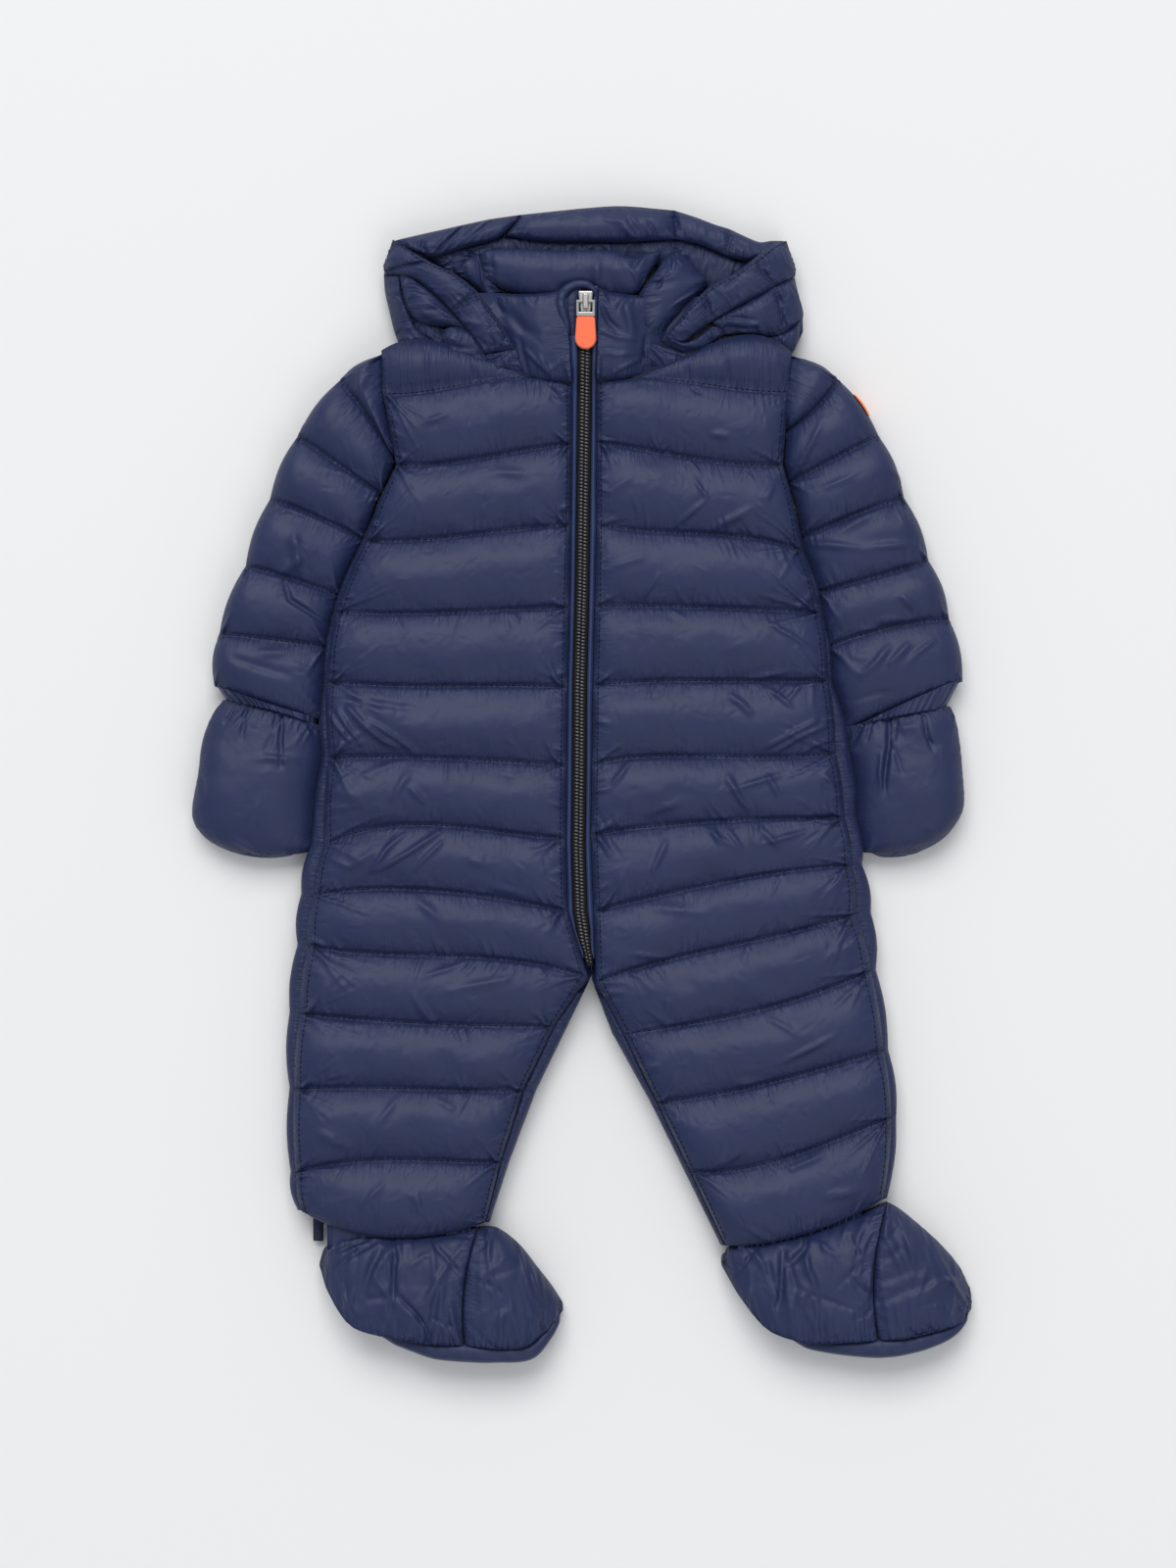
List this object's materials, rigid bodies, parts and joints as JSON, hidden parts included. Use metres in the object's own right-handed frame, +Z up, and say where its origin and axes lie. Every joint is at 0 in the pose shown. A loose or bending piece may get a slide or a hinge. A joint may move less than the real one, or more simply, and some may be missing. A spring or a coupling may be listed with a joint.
{
  "type": "hooded baby puffer snowsuit with closed mittens and booties, laid flat",
  "caption": "Quilted all-in-one padded baby suit lying flat, with hood folded open, stand collar, front zip, gathered mittens and booties on their sides.",
  "frame": {"origin": "centre of the laid-out suit, on the surface that it lies on", "axes": "+Y from the booties towards the hood, +X to the wearer's left, +Z up, away from the surface"},
  "size_m": [0.4472, 0.6629, 0.0406],
  "materials": {
    "navy_cloth": "soft satin nylon taffeta, padded and quilted",
    "navy_trim": "gathered nylon taffeta",
    "zip_welt": "corded strip with edge stitching",
    "zip_tape": "woven tape with nylon coil",
    "zip_metal": "polished nickel plate",
    "pull_rubber": "smooth moulded rubber",
    "badge": "plain soft patch",
    "woven_tab": "plain woven tape"
  },
  "bodies": {
    "suit": {"ankle_tab": "woven_tab", "ankleband_left": "navy_trim", "ankleband_right": "navy_trim", "back_left": "navy_cloth", "back_right": "navy_cloth", "bootie_quarter_left": "navy_cloth", "bootie_quarter_right": "navy_cloth", "bootie_sole_left": "navy_trim", "bootie_sole_right": "navy_trim", "bootie_toe_left": "navy_cloth", "bootie_toe_right": "navy_cloth", "collar_back": "navy_cloth", "collar_left": "navy_cloth", "collar_right": "navy_cloth", "front_left": "navy_cloth", "front_right": "navy_cloth", "hood_centre": "navy_cloth", "hood_left": "navy_cloth", "hood_right": "navy_cloth", "mitten_left": "navy_cloth", "mitten_right": "navy_cloth", "sleeve_badge": "badge", "sleeve_left": "navy_cloth", "sleeve_right": "navy_cloth", "slider": "zip_metal", "wristband_left": "navy_trim", "wristband_right": "navy_trim", "zip_chain": "zip_tape", "zip_garage": "navy_cloth", "zip_welt_left": "zip_welt", "zip_welt_right": "zip_welt"},
    "zip_pull": {"pull_frame": "zip_metal", "pull_tab": "pull_rubber"}
  },
  "joints": [
    {"name": "pull_swing", "type": "hinge", "parent": "suit", "child": "zip_pull", "pos_m": [0.0024, 0.2746, 0.0379], "axis": [-1, 0, 0], "range_deg": [0, 150]}
  ]
}
